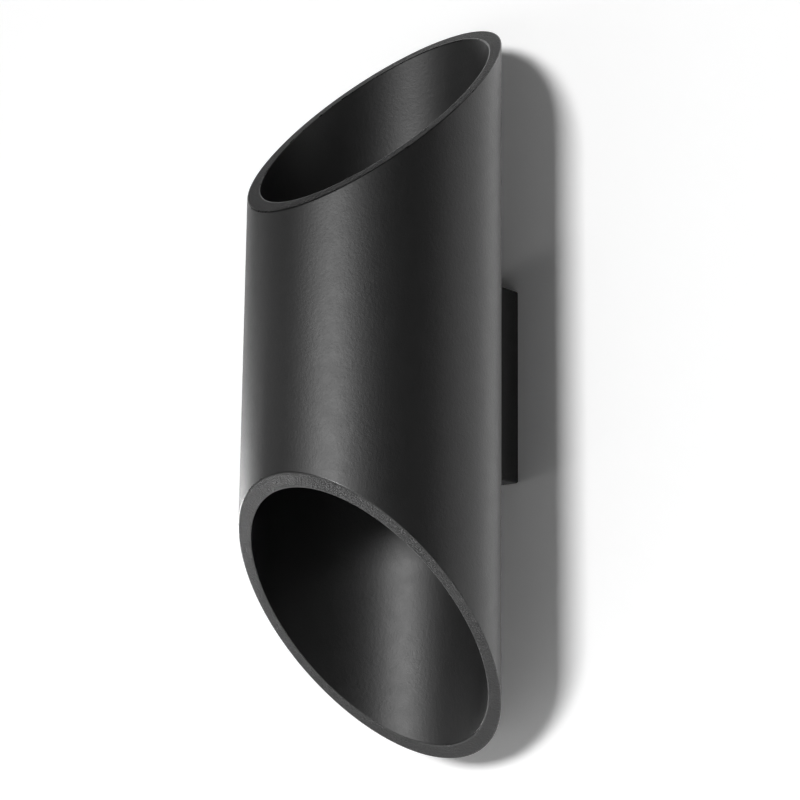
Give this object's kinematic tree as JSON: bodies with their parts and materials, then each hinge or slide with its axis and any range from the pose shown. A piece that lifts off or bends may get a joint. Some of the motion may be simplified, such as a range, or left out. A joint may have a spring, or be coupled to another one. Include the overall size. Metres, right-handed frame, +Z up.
{
  "type": "wall spotlight",
  "caption": "Up-and-down wall light: a black round tube with both ends cut on a slope, held off the wall by a small box, with twist-lock lamps inside.",
  "frame": {"origin": "middle of the wall bracket's back face, on the wall plane", "axes": "+Z up, +Y into the wall, so the lamp stands out along -Y; +X to the right for someone who faces the wall"},
  "size_m": [0.1, 0.12, 0.3],
  "materials": {
    "black_coat": "satin",
    "zinc_sheet": "satin",
    "screw_steel": "satin",
    "black_rubber": "matte",
    "ceramic": "matte",
    "contact_brass": "satin",
    "pin_nickel": "polished",
    "lamp_plastic": "matte",
    "lamp_metal": "satin",
    "board_white": "matte",
    "lens_clear": "gloss",
    "terminal_plastic": "matte",
    "wire_brown": "matte",
    "wire_blue": "matte",
    "wire_green": "matte"
  },
  "bodies": {
    "fixture": {"tube_body": "black_coat", "mount_housing": "black_coat", "wall_bracket": "zinc_sheet", "locking_screws": "black_coat", "body_screws": "screw_steel", "body_washers": "screw_steel", "body_nuts": "screw_steel", "wire_grommet": "black_rubber", "holder_bracket": "zinc_sheet", "holder_bolts": "screw_steel", "holder_nuts": "screw_steel", "upper_holder_base": "ceramic", "upper_holder_face": "ceramic", "upper_holder_rivet": "screw_steel", "upper_holder_contacts": "contact_brass", "lower_holder_base": "ceramic", "lower_holder_face": "ceramic", "lower_holder_rivet": "screw_steel", "lower_holder_contacts": "contact_brass", "terminal_block": "terminal_plastic", "terminal_inserts": "contact_brass", "terminal_screws": "contact_brass", "terminal_mount_screw": "screw_steel", "earth_screw": "contact_brass", "earth_lug": "screw_steel", "upper_line_wire": "wire_brown", "upper_neutral_wire": "wire_blue", "lower_line_wire": "wire_brown", "lower_neutral_wire": "wire_blue", "earth_wire": "wire_green"},
    "upper_lamp": {"upper_lamp_base": "lamp_plastic", "upper_lamp_pins": "pin_nickel", "upper_lamp_housing": "lamp_metal", "upper_lamp_board": "board_white", "upper_lamp_lens": "lens_clear"},
    "lower_lamp": {"lower_lamp_base": "lamp_plastic", "lower_lamp_pins": "pin_nickel", "lower_lamp_housing": "lamp_metal", "lower_lamp_board": "board_white", "lower_lamp_lens": "lens_clear"}
  },
  "joints": [
    {"name": "upper_lamp_twist", "type": "hinge", "parent": "fixture", "child": "upper_lamp", "pos_m": [0, -0.07, 0.0146], "axis": [0, 0, 1], "range_deg": [0, 30]},
    {"name": "lower_lamp_twist", "type": "hinge", "parent": "fixture", "child": "lower_lamp", "pos_m": [0, -0.07, -0.0146], "axis": [0, 0, -1], "range_deg": [0, 30]}
  ]
}
